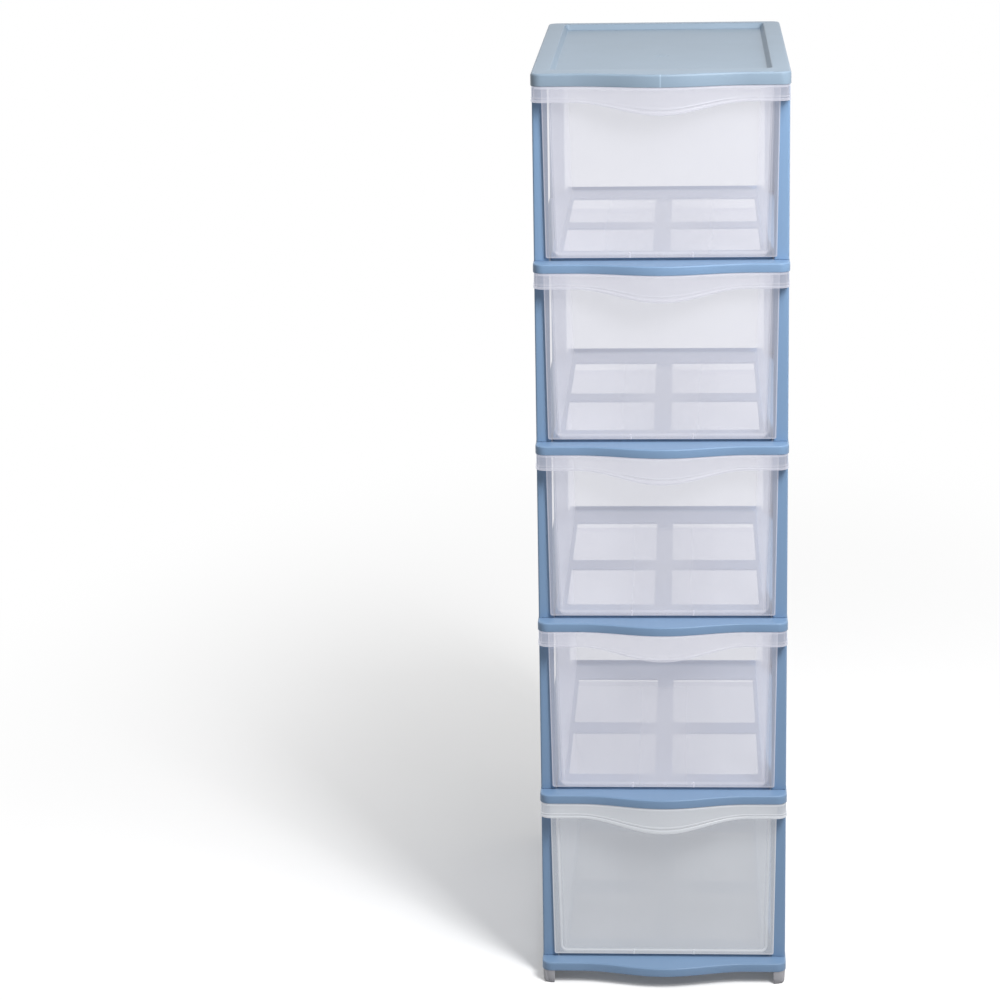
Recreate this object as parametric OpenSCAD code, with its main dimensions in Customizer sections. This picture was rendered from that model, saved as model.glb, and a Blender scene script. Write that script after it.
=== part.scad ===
// Plastic drawer tower: drawers that slide on open shelves, held apart by corner posts.
// X is the width, the drawers pull out towards -Y, and the feet stand on z = 0.

/* [Tower] */
// Number of drawers
bays = 5; // [2:1:7]
// Width over the rims
tower_w = 220; // [190:1:300]
// Depth from the straight part of the front rims to the back
tower_d = 388; // [320:1:480]
// How far the middle of the front rims bulges forward
bulge = 13; // [6:0.5:20]
// Half the width of the bulge
bulge_half = 76; // [50:1:84]
// Radius of the rims' corners, seen from above
corner_r = 9; // [6:0.5:12]

/* [Frame] */
// Clear height of a bay, from one shelf's top to the rim above it
bay_h = 152; // [110:1:220]
// Height of a shelf's rim
rim_h = 8; // [6:0.5:14]
// Thickness of the shelves' and the cover's walls
wall = 2.2; // [1.6:0.1:3]
// How far the deck that the drawer slides on stands above the rim
deck_rise = 2.5; // [1.5:0.1:5]
// How far the side guides and the rear stop stand above the rim
guide_h = 5.3; // [4:0.1:9]
// From the front rim to the first openings in the deck
front_rail = 51; // [35:1:70]
// Length of the two front openings
front_opening = 117; // [70:1:140]
// Width of the bar between the front and the back openings
cross_bar = 29.5; // [12:0.5:40]
// From the back openings to the back of the tower
rear_rail = 54.5; // [35:0.5:70]
// From the openings to the side of the tower
side_rail = 24.5; // [22:0.5:35]
// Width of the bar down the middle of the deck
middle_bar = 15.5; // [8:0.5:30]
// Radius of the openings' corners
opening_r = 3; // [1:0.5:6]

/* [Top cover] */
// Height of the cover's rim
cover_h = 11; // [9:0.5:18]
// Depth of the tray in the cover's top
tray_depth = 5; // [2:0.5:6]
// Width of the border at each side of the tray
tray_side = 16; // [14:0.5:30]
// Width of the border in front of the tray
tray_front = 28; // [22:1:45]
// Width of the border behind the tray
tray_back = 14; // [10:0.5:30]

/* [Corner posts] */
// Width of a post's front leg
post_w = 13; // [9:0.5:16]
// Depth of a post's side leg
post_d = 34; // [20:1:50]
// Thickness of both legs
post_t = 3; // [2.4:0.1:5]
// How far the posts stand in from the side of the rims
post_inset = 0.5; // [0.3:0.1:2]
// How far the rear posts stand in from the back
rear_inset = 1.5; // [0.5:0.1:4]
// Play of a post's tongue in its pocket
tongue_play = 0.15; // [0.1:0.05:0.3]

/* [Drawers] */
// How far the drawer's face stands back from the front rims
face_setback = 14.5; // [11:0.5:22]
// Thickness of the drawer's face
face_t = 2; // [1.4:0.1:3]
// Thickness of the tub's walls and floor
tub_t = 1.6; // [1.2:0.1:2.5]
// How much narrower each side of the tub is at the floor than at the rim
draft = 4.5; // [4:0.5:10]
// How far the face's flange runs past the top of the tub
flange_w = 6.4; // [4:0.1:8]
// How far the flange runs past the tub at its floor
flange_foot = 8.5; // [5:0.1:10]
// Radius between the tub's floor and its walls
tub_r = 5; // [3:0.5:12]
// Width of the bead round the tub's top edge
tub_bead = 0.9; // [0.5:0.1:2]
// Height of that bead
tub_bead_h = 4; // [2:0.5:8]
// Height of the handle band at its ends
band_h = 13; // [10:0.5:20]
// How much deeper the band hangs in the middle
band_dip = 10; // [4:0.5:16]
// Thickness of the band
band_t = 2; // [1.4:0.1:3]
// Height of the bead along the band's lower edge
bead_h = 4.5; // [2:0.5:6]
// How far that bead stands proud
bead_proud = 0.6; // [0.3:0.1:1]
// Distance of the two nibs on the face's lower edge from the middle
nib_x = 27; // [15:1:60]
// Height of a nib
nib_h = 5; // [2:0.5:10]

/* [Feet] */
// Height of the feet below the lowest shelf
foot_h = 12; // [8:0.5:30]
// Width of a foot seen from the front
foot_w = 11; // [10:0.5:12]
// Thickness of a foot's walls
foot_t = 2.4; // [1.8:0.1:3]

/* [Clearances] */
// Gap between a tub's floor and the deck
slide_gap = 0.4; // [0.3:0.1:1.5]
// Gap between a tub's bead and the front posts
post_gap = 0.6; // [0.4:0.1:2]
// Gap between a drawer's face and the front posts
face_gap = 1; // [0.5:0.1:2]
// Gap between a tub's floor and the side guides
guide_gap = 2.5; // [1:0.1:2.7]
// Gap between the back of a tub and the rear stop
back_gap = 6.2; // [2:0.1:20]
// Gap between a tub's top edge and the shelf above
top_gap = 7; // [2:0.5:10]
// Gap between the handle band and the rim above
band_gap = 0.7; // [0.4:0.1:2]

/* [Hidden] */
$fn = 48;
SIDES = [["left", -1], ["right", 1]];
ENDS = ["front", "rear"];

blue = [0.55, 0.67, 0.80];
clear = [0.86, 0.87, 0.92, 0.55];
grey = [0.62, 0.62, 0.65];

wave_steps = 36;
nib_w = 1.4;
nib_proud = 0.8;
tongue_wall = 0.6;
tongue_end_gap = 0.4;
tongue_h = (rim_h - tongue_end_gap) / 2;
pad_wall = 2.5;
eps = 0.01;

half_w = tower_w / 2;
y_rim = (bulge - tower_d) / 2;
y_back = y_rim + tower_d;

// posts
post_x = half_w - post_inset;
post_front_y = y_rim + face_setback + face_t + face_gap;
post_rear_y = y_back - rear_inset;

// drawer, with its heights counted from the top of its shelf's rim
tub_half_top = post_x - post_w - post_gap - tub_bead;
tub_half_floor = tub_half_top - draft;
tub_z0 = deck_rise + slide_gap;
tub_z1 = bay_h - top_gap;
face_y = y_rim + face_setback;
face_back_y = face_y + face_t;
band_z1 = bay_h - band_gap;

// shelf
stop_back_y = post_rear_y;
stop_y = stop_back_y - wall;
tub_back_top = stop_y - back_gap;
tub_back_floor = tub_back_top - draft;
deck_half = tub_half_floor + guide_gap + wall;
deck_y0 = face_back_y + face_gap + post_t;
back_opening = tower_d - front_rail - front_opening - cross_bar - rear_rail;
opening_w = half_w - side_rail - middle_bar / 2;

// Height of the top of shelf n's rim, counted from the top down.
function shelf_z(n) = foot_h + (bays - n + 1) * rim_h + (bays - n) * bay_h;

// Smooth hump, 1 in the middle and 0 from bulge_half outwards.
function hump(x) = abs(x) < bulge_half ? (1 + cos(180 * x / bulge_half)) / 2 : 0;

// Stations along the hump.
function stations() = [for (i = [0:wave_steps]) bulge_half * (2 * i / wave_steps - 1)];

// Right half of a tapered profile with a round lower corner, from the floor up.
function tapered_half(floor_half, top_half, z0, z1, r) =
    let (lean = atan2(top_half - floor_half, z1 - z0),
         cx = floor_half + r * tan(lean) - r / cos(lean))
    concat(
        [for (i = [0:8]) let (t = -90 + (90 - lean) * i / 8) [cx + r * cos(t), z0 + r + r * sin(t)]],
        [[top_half, z1]]
    );

function mirrored(points) = [for (i = [len(points) - 1:-1:0]) [-points[i][0], points[i][1]]];

module rounded_rect(x0, x1, y0, y1, r) {
    union() {
        translate([x0 + r, y0]) square([x1 - x0 - 2 * r, y1 - y0]);
        translate([x0, y0 + r]) square([x1 - x0, y1 - y0 - 2 * r]);
        for (x = [x0 + r, x1 - r])
            for (y = [y0 + r, y1 - r])
                translate([x, y]) circle(r);
    }
}

// Plan of the rims: a rounded rectangle with the hump in front, moved in by inset.
module rim_plan(inset = 0) {
    half = half_w - inset;
    y0 = y_rim + inset;
    union() {
        rounded_rect(-half, half, y0, y_back - inset, corner_r - inset);
        polygon(concat(
            [for (x = stations()) [x, y0 - bulge * hump(x)]],
            [[bulge_half, y0 + corner_r], [-bulge_half, y0 + corner_r]]
        ));
    }
}

// The part of a plan in front of the back of the drawer's face.
module front_only() {
    intersection() {
        children();
        translate([-tower_w, y_rim - 2 * bulge]) square([2 * tower_w, face_back_y - y_rim + 2 * bulge]);
    }
}

// Extrudes an XZ outline along Y, from y0 to y1.
module along_y(y0, y1) {
    translate([0, y1, 0]) rotate([90, 0, 0]) linear_extrude(y1 - y0) children();
}

// Extrudes a YZ outline along X, to both sides of the middle.
module along_x(half) {
    translate([-half, 0, 0]) rotate([90, 0, 90]) linear_extrude(2 * half) children();
}

// Extrudes a plan from z0 to z1.
module slab(z0, z1) {
    translate([0, 0, z0]) linear_extrude(z1 - z0) children();
}

// Places a corner piece, drawn at x >= 0 with its outer face at y = 0, at one of the four corners.
module at_corner(end, side, front_y, rear_y) {
    translate([0, end == "front" ? front_y : rear_y, 0])
        mirror([side < 0 ? 1 : 0, 0, 0])
            mirror([0, end == "front" ? 0 : 1, 0])
                children();
}

// Plan of an angle: its outer corner is at x = post_x, y = 0, and shrink moves every face in.
module angle_plan(shrink) {
    x1 = post_x - shrink;
    x0 = post_x - post_w + shrink;
    y1 = post_d - shrink;
    t = post_t - shrink;
    polygon([[x0, shrink], [x1, shrink], [x1, y1], [post_x - t, y1], [post_x - t, t], [x0, t]]);
}

// The four pockets that the tongues of the posts and feet stand in.
module pockets(z0, z1) {
    for (e = ENDS)
        for (s = SIDES)
            at_corner(e, s[1], post_front_y, post_rear_y)
                slab(z0, z1) angle_plan(tongue_wall - tongue_play);
}

// The solid corners round the pockets, kept inside the rim.
module pads(z0, z1) {
    slab(z0, z1) intersection() {
        rim_plan(wall / 2);
        for (e = ENDS)
            for (s = SIDES)
                at_corner(e, s[1], post_front_y, post_rear_y)
                    translate([post_x - post_w - pad_wall, -pad_wall])
                        square([post_w + pad_wall + post_inset, post_d + 2 * pad_wall]);
    }
}

// Plan of the raised deck, moved in by inset.
module deck_plan(inset = 0) {
    translate([-deck_half + inset, deck_y0 + inset])
        square([2 * (deck_half - inset), stop_back_y - deck_y0 - 2 * inset]);
}

// Plan of the deck's four openings.
module openings_plan() {
    rows = [[y_rim + front_rail, front_opening],
            [y_rim + front_rail + front_opening + cross_bar, back_opening]];
    for (row = rows)
        for (x0 = [-middle_bar / 2 - opening_w, middle_bar / 2])
            rounded_rect(x0, x0 + opening_w, row[0], row[0] + row[1], opening_r);
}

module shelf(n) {
    color(blue)
    translate([0, 0, shelf_z(n)])
    difference() {
        union() {
            slab(-rim_h, 0) difference() {
                rim_plan();
                rim_plan(wall);
            }
            slab(-wall, 0) difference() {
                rim_plan(wall / 2);
                deck_plan(wall);
            }
            slab(-wall, deck_rise) difference() {
                deck_plan();
                deck_plan(wall);
            }
            slab(deck_rise - wall, deck_rise) deck_plan();
            slab(-wall, guide_h) difference() {
                deck_plan();
                translate([-deck_half + wall, deck_y0 - 1])
                    square([2 * (deck_half - wall), stop_y - deck_y0 + 1]);
            }
            pads(-rim_h, 0);
        }
        slab(-wall, deck_rise + 1) openings_plan();
        pockets(-rim_h - 1, 1);
    }
}

module top_cover() {
    tray_half = half_w - tray_side;
    tray_y0 = y_rim + tray_front;
    tray_y1 = y_back - tray_back;
    color(blue)
    translate([0, 0, shelf_z(1) + bay_h])
    difference() {
        union() {
            slab(0, cover_h) difference() {
                rim_plan();
                rim_plan(wall);
            }
            slab(cover_h - wall, cover_h) rim_plan(wall / 2);
            slab(cover_h - tray_depth - wall, cover_h)
                rounded_rect(-tray_half - wall, tray_half + wall, tray_y0 - wall, tray_y1 + wall,
                             opening_r + wall);
            pads(0, cover_h - wall / 2);
        }
        slab(cover_h - tray_depth, cover_h + 1)
            rounded_rect(-tray_half, tray_half, tray_y0, tray_y1, opening_r);
        pockets(-1, tongue_h + tongue_end_gap);
    }
}

// A corner post: an angle with a thinner tongue at each end.
module post(n, end, side) {
    color(blue)
    translate([0, 0, shelf_z(n)])
    at_corner(end, side, post_front_y, post_rear_y) {
        slab(0, bay_h) angle_plan(0);
        slab(-tongue_h, bay_h + tongue_h) angle_plan(tongue_wall);
    }
}

// The solid between the tub's tapered walls, moved in by inset and carried up past the rim by over.
module tub_body(inset, over) {
    z0 = tub_z0 + inset;
    top = tub_z1 + over;
    half = concat(tapered_half(tub_half_floor - inset, tub_half_top - inset, z0, tub_z1, tub_r),
                  [[tub_half_top - inset, top]]);
    back = concat(tapered_half(tub_back_floor - inset, tub_back_top - inset, z0, tub_z1, tub_r),
                  [[tub_back_top - inset, top]]);
    intersection() {
        along_y(face_y + inset, y_back) polygon(concat(half, mirrored(half)));
        along_x(half_w) polygon(concat([[face_y, z0]], back, [[face_y, top]]));
    }
}

// The tub's bead, a rectangular ring round the top of its sides and back.
module tub_bead_ring() {
    difference() {
        slab(tub_z1 - tub_bead_h, tub_z1)
            translate([-tub_half_top - tub_bead, face_y + face_t / 2])
                square([2 * (tub_half_top + tub_bead), tub_back_top + tub_bead - face_y - face_t / 2]);
        slab(tub_z1 - tub_bead_h - 1, tub_z1 + 1)
            translate([-tub_half_top + tub_t, face_y - 1])
                square([2 * (tub_half_top - tub_t), tub_back_top - tub_t - face_y + 1]);
    }
}

// The drawer's flat face, wider than the tub all the way down.
module face_plate() {
    floor_half = tub_half_floor + flange_foot;
    top_half = tub_half_top + flange_w;
    half = tapered_half(floor_half, top_half, tub_z0, band_z1, 1);
    along_y(face_y, face_back_y) polygon(concat(half, mirrored(half)));
    for (x = [-nib_x, nib_x])
        translate([x - nib_w / 2, face_y - nib_proud, tub_z0])
            cube([nib_w, nib_proud + face_t / 2, nib_h]);
}

// Elevation of the handle band from its lower edge plus lift up to z1.
module band_elevation(z1) {
    z0 = band_z1 - band_h;
    side = half_w + 1;
    polygon(concat(
        [[-side, z1], [-side, z0]],
        [for (x = stations()) [x, z0 - band_dip * hump(x)]],
        [[side, z0], [side, z1]]
    ));
}

// The bead's elevation: the lowest bead_h of the band.
module bead_elevation() {
    z0 = band_z1 - band_h;
    side = half_w + 1;
    low = concat([[-side, z0]], [for (x = stations()) [x, z0 - band_dip * hump(x)]], [[side, z0]]);
    high = [for (i = [len(low) - 1:-1:0]) [low[i][0], low[i][1] + bead_h]];
    polygon(concat(low, high));
}

// The handle band, the web that joins it to the face, and the bead along its lower edge.
module handle() {
    lowest = band_z1 - band_h - band_dip - 1;
    intersection() {
        slab(lowest, band_z1) front_only() difference() {
            rim_plan(bead_proud);
            rim_plan(bead_proud + band_t);
        }
        along_y(y_rim - 2 * bulge, y_back) band_elevation(band_z1);
    }
    intersection() {
        slab(lowest, band_z1) front_only() difference() {
            rim_plan();
            rim_plan(bead_proud + band_t / 2);
        }
        along_y(y_rim - 2 * bulge, y_back) bead_elevation();
    }
    slab(band_z1 - band_t, band_z1) front_only() rim_plan(bead_proud);
}

module drawer(n) {
    color(clear)
    translate([0, 0, shelf_z(n)]) {
        difference() {
            union() {
                tub_body(0, 0);
                tub_bead_ring();
            }
            tub_body(tub_t, 1);
        }
        face_plate();
        handle();
    }
}

// Plan of a foot: a round outer corner, a front wall and a side wall, with y = 0 at the posts' face.
module foot_plan(front_y) {
    x1 = half_w - post_inset;
    x0 = x1 - foot_w;
    r = corner_r - post_inset;
    polygon(concat(
        [[x0, front_y]],
        [for (i = [0:8]) let (t = -90 + 90 * i / 8) [x1 - r + r * cos(t), front_y + r + r * sin(t)]],
        [[x1, post_d], [x1 - post_t, post_d], [x1 - post_t, post_t + foot_t],
         [post_x - post_w, post_t + foot_t], [post_x - post_w, 0]]
    ));
}

module foot(end, side) {
    front_y = end == "front" ? y_rim + post_inset - post_front_y : post_rear_y - y_back + post_inset;
    color(grey)
    at_corner(end, side, post_front_y, post_rear_y)
    difference() {
        union() {
            slab(0, foot_h) foot_plan(front_y);
            slab(foot_h - eps, foot_h + tongue_h) angle_plan(tongue_wall);
        }
        slab(-1, foot_h - foot_t)
            translate([post_x - post_w + 2 * foot_t, front_y + foot_t])
                square([post_w - 2 * foot_t - post_t, post_t - front_y - foot_t]);
    }
}

top_cover();
for (n = [1:bays]) {
    shelf(n);
    drawer(n);
    for (e = ENDS)
        for (s = SIDES)
            post(n, e, s[1]);
}
for (e = ENDS)
    for (s = SIDES)
        foot(e, s[1]);
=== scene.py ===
import math

import bmesh
import bpy
import numpy as np
from bpy.props import FloatProperty, FloatVectorProperty, PointerProperty
from bpy.types import NodeSocket, Operator, Panel, PropertyGroup
from mathutils import Matrix, Vector


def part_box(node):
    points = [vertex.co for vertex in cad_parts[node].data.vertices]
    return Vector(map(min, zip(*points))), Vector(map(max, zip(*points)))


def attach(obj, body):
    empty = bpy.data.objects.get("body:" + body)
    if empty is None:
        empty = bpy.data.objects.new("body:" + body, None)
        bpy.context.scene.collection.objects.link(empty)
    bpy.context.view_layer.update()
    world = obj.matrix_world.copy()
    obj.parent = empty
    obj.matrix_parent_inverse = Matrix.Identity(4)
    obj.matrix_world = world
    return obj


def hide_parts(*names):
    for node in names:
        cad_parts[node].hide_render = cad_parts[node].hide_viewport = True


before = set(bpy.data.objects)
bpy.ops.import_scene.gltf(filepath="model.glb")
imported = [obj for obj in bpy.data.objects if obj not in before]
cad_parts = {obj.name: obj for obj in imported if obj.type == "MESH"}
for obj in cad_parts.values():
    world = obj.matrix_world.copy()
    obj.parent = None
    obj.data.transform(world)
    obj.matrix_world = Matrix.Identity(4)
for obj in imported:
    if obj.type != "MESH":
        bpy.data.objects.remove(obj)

bl_info = {
    "name": "Plastic Drawer Tower",
    "version": (1, 0, 0),
    "blender": (4, 5, 0),
    "location": "View3D > Sidebar > Drawer Tower",
    "description": "Moulded skins, translucent drawers and studio stage of a plastic drawer tower",
    "category": "Add Mesh",
}

MM = 0.001
WHITE = (1.0, 1.0, 1.0, 1.0)

# How finely curves and sides are divided, how near points merge, and from where on an edge is sharp
ARC_STEPS = 8
EDGE_STEPS = 5
RETURN_STEPS = 4
FRONT_STOPS = np.linspace(-1.0, 1.0, 96, endpoint=False)
BACK_STOPS = np.linspace(1.0, -1.0, 12, endpoint=False)
SIDE_STOPS = np.array([0.0, 0.008, 0.016, 0.024, 0.04, 0.2, 0.4, 0.6, 0.8, 1.0])
MERGE = 2e-6
SHARP_ANGLE = math.radians(38)
# Smallest radius that a corner keeps when its outline is moved in
LEAST_R = 0.3 * MM
# Share of an edge's rounding at which an L-shaped wall's bevel has its middle point
BEVEL = 0.3
# How far the pads for the posts stay above a rim's lower edge, and reach into the cover's or a shelf's top
PAD_RISE = 0.1 * MM
COVER_PAD_OVERLAP, SHELF_PAD_OVERLAP = 0.3 * MM, 0.4 * MM

# How milky the drawers' plastic looks, where the thin panel of a face counts 1. The milkier lines and
# edges stand for denser plastic there and are also painted highlights, as they show more of the painted
# glow. What is milkier than FULL_SHADOW lets no lamp's light straight through.
TUB_FLOOR, TUB_RIM = 0.9, 1.3
PANEL, FLANGE, FACE_LINE, FACE_EDGE = 1.0, 1.05, 2.0, 1.9
BAND, GROOVE, BAND_LINE, WEB = 1.3, 1.1, 2.1, 2.0
NIB = 2.6
FULL_SHADOW = 1.02

# Grain of the frame's plastic
FRAME_GRAIN = {"grain_size": 1400.0, "grain_depth": 0.25}

# Places, aims and sizes of the lamps
KEY_PLACE, KEY_AIM, KEY_SIZE = (0.93, -1.81, 2.59), (0.0, 0.0, 0.4), (0.48, 1.6)
NEAR_PLACE, NEAR_AIM, NEAR_SIZE = (0.5, -0.75, 1.15), (0.0, 0.0, 0.75), (0.35, 0.35)
# The floor's half width, the distances at which its plain white begins and is full, and how many times
# sooner it gets there sideways
FLOOR_HALF = 14.0
FADE_FROM, FADE_TO, FADE_SIDEWAYS = 0.3, 2.0, 2.0
# Width of the camera's sensor in millimetres, and how near and how far it sees in metres
SENSOR = 36.0
CLIP = (0.1, 60.0)

SHELVES, DRAWERS, POSTS, FEET = (
    sorted(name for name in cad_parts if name.startswith(start))
    for start in ("shelf_", "drawer_", "post_", "foot_")
)
RIM_LOW, RIM_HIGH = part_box("shelf_1")
COVER_LOW, COVER_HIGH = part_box("top_cover")
POST_LOW, POST_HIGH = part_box("post_1_front_right")
REAR_POST_LOW, REAR_POST_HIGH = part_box("post_1_rear_right")
DRAWER_LOW, DRAWER_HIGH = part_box("drawer_1")
FOOT_LOW, FOOT_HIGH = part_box("foot_front_right")
COVER_H = COVER_HIGH.z - COVER_LOW.z
DRAWER_H = DRAWER_HIGH.z - DRAWER_LOW.z


# Sizes and colours ------------------------------------------------------------------------------


def length(label, millimetres, about):
    """A length that is given in millimetres and kept in metres."""
    return FloatProperty(
        name=label, description=about, default=millimetres * MM, unit="LENGTH", subtype="DISTANCE"
    )


def angle(label, degrees, about):
    """An angle that is given in degrees and kept in radians."""
    return FloatProperty(
        name=label, description=about, default=math.radians(degrees), unit="ROTATION", subtype="ANGLE"
    )


def share(label, value, about):
    """A plain number from 0 upwards."""
    return FloatProperty(name=label, description=about, default=value, min=0.0)


def linear(value):
    """Scene-linear value of one channel that is given as a screen value from 0 to 255."""
    value = value / 255
    return value / 12.92 if value <= 0.04045 else ((value + 0.055) / 1.055) ** 2.4


def colour(label, red, green, blue, about):
    """A colour that is given by its three screen values and kept scene-linear."""
    return FloatVectorProperty(
        name=label,
        description=about,
        default=(linear(red), linear(green), linear(blue)),
        size=3,
        subtype="COLOR",
        min=0.0,
        max=1.0,
    )


class RimSizes(PropertyGroup):
    """Plan and edges that the shelves, the cover and the handle bands share."""

    bulge: length("Bulge", 13.0, "How far the middle of a front rim bulges forward")
    bulge_half: length("Half bulge", 76.0, "Half the width of the bulge")
    corner_r: length("Corner", 9.0, "Radius of the rims' corners, seen from above")
    wall: length("Wall", 2.2, "Thickness of the moulded walls")
    edge_r: length("Upper edge", 1.5, "Radius of a shelf rim's upper edge")
    lower_r: length("Lower edge", 0.6, "Radius of a rim's lower edge")


class ShelfSizes(PropertyGroup):
    """Deck, guides and openings of a shelf."""

    rim_h: length("Rim height", 8.0, "Height of a shelf's rim")
    deck_rise: length("Deck rise", 2.5, "Height of the deck above the rim")
    guide_rise: length("Guide rise", 5.3, "Height of the side guides above the rim")
    guide_ramp: length("Guide ramp", 8.0, "Length of the ramp at the front end of a guide")
    deck_half: length("Deck half width", 95.2, "Half the width of the deck with its guides")
    deck_setback: length("Deck setback", 20.5, "From the straight front rim to the deck's front")
    back_border: length("Back border", 1.9, "From the rear guide to the back of the rim")
    front_rail: length("Front rail", 51.0, "From the straight front rim to the front openings")
    front_opening: length("Front openings", 117.0, "Length of the two front openings")
    cross_bar: length("Cross bar", 29.5, "Bar between the front and the back openings")
    rear_rail: length("Rear rail", 54.5, "From the back openings to the back of the rim")
    side_rail: length("Side rail", 24.5, "From the openings to the side of the rim")
    middle_bar: length("Middle bar", 15.5, "Width of the bar down the middle")
    opening_r: length("Opening corner", 3.0, "Radius of the openings' corners")
    lip: length("Opening lip", 0.6, "Thickness of the thin lip round an opening")


class CoverSizes(PropertyGroup):
    """Tray and edges of the top cover."""

    edge_r: length("Upper edge", 2.0, "Radius of the cover's upper edge")
    tray_depth: length("Tray depth", 5.0, "Depth of the tray")
    tray_side: length("Side border", 16.0, "Border at each side of the tray")
    tray_front: length("Front border", 28.0, "Border in front of the tray")
    tray_back: length("Back border", 14.0, "Border behind the tray")
    tray_r: length("Tray corner", 4.0, "Radius of the tray's corners")
    tray_slope: length("Tray slope", 2.6, "How far the tray's wall leans in towards its floor")
    tray_edge_r: length("Tray edge", 1.1, "Radius of the tray's upper edge")
    tray_fillet: length("Tray fillet", 0.9, "Radius between the tray's wall and its floor")
    gate_r: length("Gate mark", 6.5, "Radius of the moulding gate's mark in the tray")


class PostSizes(PropertyGroup):
    """Section of the corner posts and of the feet."""

    thick: length("Post thickness", 3.0, "Thickness of a post's legs")
    outer_r: length("Post corner", 1.6, "Radius of a post's outer corner")
    edge_r: length("Post edges", 0.5, "Rounding of a post's long edges")
    foot_thick: length("Foot thickness", 2.6, "Thickness of a foot's walls")
    foot_r: length("Foot corner", 8.0, "Radius of a foot's outer corner")
    foot_taper: length("Foot taper", 0.9, "How much narrower a foot is at the floor")


class DrawerSizes(PropertyGroup):
    """Tub, face and handle band of a drawer."""

    face_setback: length("Face setback", 14.5, "From the straight front rim to the face")
    face_t: length("Face thickness", 2.0, "Thickness of the face")
    face_half_top: length("Face half width", 101.4, "Half the width of the face at the top")
    face_half_floor: length("Face foot half width", 99.0, "Half the width of the face at its foot")
    tub_half_top: length("Tub half width", 95.0, "Half the width of the tub at its top edge")
    panel_half_top: length("Panel half width", 94.9, "Half the width of the thinner panel at its top")
    panel_half_floor: length("Panel foot half width", 91.6, "Half the width of the thinner panel at its foot")
    panel_foot: length("Panel foot", 4.2, "From the face's lower edge to the thinner panel")
    panel_r: length("Panel corner", 4.0, "Radius of the panel's lower corners")
    panel_step: length("Panel step", 0.5, "How far the panel lies behind the flange")
    tub_t: length("Tub wall", 1.6, "Thickness of the tub's walls and floor")
    draft: length("Draft", 4.5, "How much narrower each side of the tub is at the floor")
    tub_top: length("Tub top gap", 6.3, "From the top of the band down to the tub's top edge")
    tub_fillet: length("Tub fillet", 5.0, "Radius between the tub's floor and its walls")
    tub_corner: length("Tub corner", 7.0, "Radius of the tub's upright back corners")
    back_gap: length("Back gap", 6.2, "From the tub's top edge to the rear stop")
    wall_milk: share("Wall milkiness", 0.9, "How milky the tub's walls look, where a face's panel counts 1")
    tub_bead: length("Tub bead", 0.9, "Width of the bead round the tub's top edge")
    tub_bead_h: length("Tub bead height", 4.0, "Height of that bead")
    band_h: length("Band height", 13.0, "Height of the handle band at its ends")
    band_dip: length("Band dip", 10.0, "How much deeper the band hangs in the middle")
    band_t: length("Band thickness", 2.0, "Thickness of the band")
    ridge_h: length("Ridge height", 4.4, "Height of the double ridge on the band's lower edge")
    ridge_swell: length("Ridge swell", 2.0, "How much higher the double ridge is in the middle")
    ridge: length("Ridge", 0.6, "How far the ridge stands proud")
    nib_x: length("Nib distance", 27.0, "Distance of the two nibs from the middle")
    nib_h: length("Nib height", 4.6, "Height of a nib on the face's lower edge")


class Finish(PropertyGroup):
    """Colours and gloss of the plastics, with the drawers' painted glow and the cover's painted sheen."""

    blue: colour("Frame blue", 116, 144, 176, "Colour of the shelves and the posts")
    # Greyer than the frame's blue: a painted sheen, the white that the cover's top reflects put into its
    # colour
    cover_blue_painted_sheen: colour("Cover blue", 128, 146, 163, "Colour of the cover, a little greyer")
    blue_roughness: share("Frame roughness", 0.42, "Roughness of the frame's satin plastic")
    milk: colour("Drawer milk", 136, 136, 143, "Colour of the drawers' translucent plastic")
    # Painted glow: an emission that stands in for the light spreading inside the drawers' plastic, shining
    # under any lamp or none
    painted_milk_glow: colour("Drawer painted glow", 176, 177, 187, "Light that spreads inside the drawers' plastic")
    milk_roughness: share("Drawer roughness", 0.34, "Roughness of the drawers")
    milk_body: share("Drawer body", 0.24, "How much of the view one drawer surface covers")
    dense: colour("Dense milk", 152, 155, 158, "Colour of the lowest drawer's denser plastic")
    # Painted glow of the lowest drawer, dimmer than the others'
    painted_dense_glow: colour("Dense painted glow", 150, 152, 157, "Light that spreads inside the lowest drawer")
    dense_body: share("Dense body", 0.44, "How much of the view one surface of the lowest drawer covers")
    grey: colour("Foot grey", 168, 168, 173, "Colour of the feet")


class Studio(PropertyGroup):
    """Camera, lamps and floor."""

    lens: length("Lens", 116.49, "Focal length on a 36 mm sensor")
    pitch: angle("Pitch", 14.585, "How far the camera looks down")
    yaw: angle("Yaw", -3.489, "How far the camera is turned to its right")
    roll: angle("Roll", -0.968, "How far the camera is rolled")
    camera_x: length("Camera across", 25.043, "Camera's place across")
    camera_y: length("Camera depth", -2911.381, "Camera's place in depth")
    camera_z: length("Camera height", 1162.383, "Camera's height")
    key_watts: share("Key lamp", 46.0, "Power of the large lamp at the front right, in watts")
    near_watts: share("Near lamp", 7.8, "Power of the small lamp near the cover, in watts")
    sky: share("Sky light", 0.85, "Strength of the light from straight above, less towards the sides")
    glow: share("Floor glow", 0.09, "How much white the floor adds of its own to what the eye sees")
    bounce: colour("Floor bounce", 150, 150, 152, "Colour of the floor for the light that it gives back")


class TowerSettings(PropertyGroup):
    """All settings of the drawer tower."""

    rims: PointerProperty(type=RimSizes)
    shelves: PointerProperty(type=ShelfSizes)
    cover: PointerProperty(type=CoverSizes)
    posts: PointerProperty(type=PostSizes)
    drawers: PointerProperty(type=DrawerSizes)
    finish: PointerProperty(type=Finish)
    studio: PointerProperty(type=Studio)


# Places that follow from the frame ---------------------------------------------------------------


def rim_front(rims):
    """The straight part of the front rims, behind the bulge."""
    return RIM_LOW.y + rims.bulge


def settings():
    """The tower's settings in the current scene."""
    return bpy.context.scene.drawer_tower


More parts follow.
